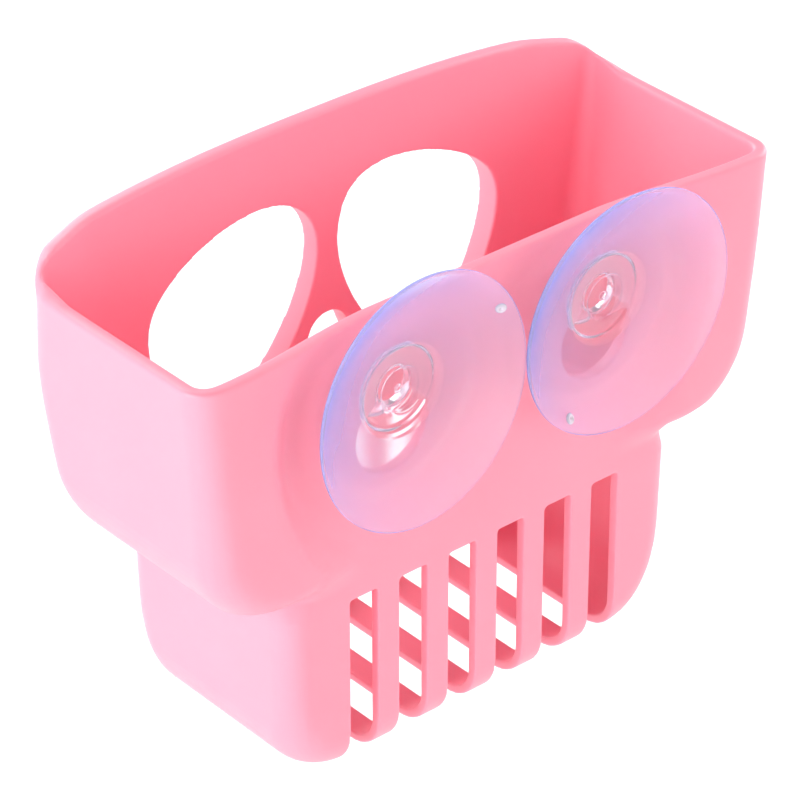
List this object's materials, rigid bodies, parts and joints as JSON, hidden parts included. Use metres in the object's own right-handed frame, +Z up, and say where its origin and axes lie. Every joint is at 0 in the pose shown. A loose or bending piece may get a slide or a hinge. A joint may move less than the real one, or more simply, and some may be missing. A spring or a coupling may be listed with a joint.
{
  "type": "sink rack",
  "caption": "Open wall rack with a plain skull face, a wide upper basket over a narrow slotted one, hung by keyholes on suction cups so that it drips into a sink.",
  "frame": {"origin": "on the wall plane, midway between the two suction cups", "axes": "+Y into the wall, +Z up, +X along the wall; the face looks along -Y"},
  "size_m": [0.127, 0.0587, 0.0988],
  "materials": {
    "pink_plastic": "satin moulded plastic, slightly translucent",
    "clear_pvc": "clear soft PVC with a faint blue tint"
  },
  "bodies": {
    "left_cup": {"suction_cup_left": "clear_pvc"},
    "rack": {"rack_body": "pink_plastic"},
    "right_cup": {"suction_cup_right": "clear_pvc"}
  },
  "joints": [
    {"name": "rack_lift", "type": "slide", "parent": "left_cup", "child": "rack", "axis": [0, 0, 1], "range_m": [0, 0.0089]},
    {"name": "right_cup_slide", "type": "slide", "parent": "rack", "child": "right_cup", "axis": [0, 0, 1], "range_m": [-0.0089, 0]}
  ],
  "couplings": [
    {"joint": "right_cup_slide", "follows": "rack_lift", "ratio": -1}
  ]
}
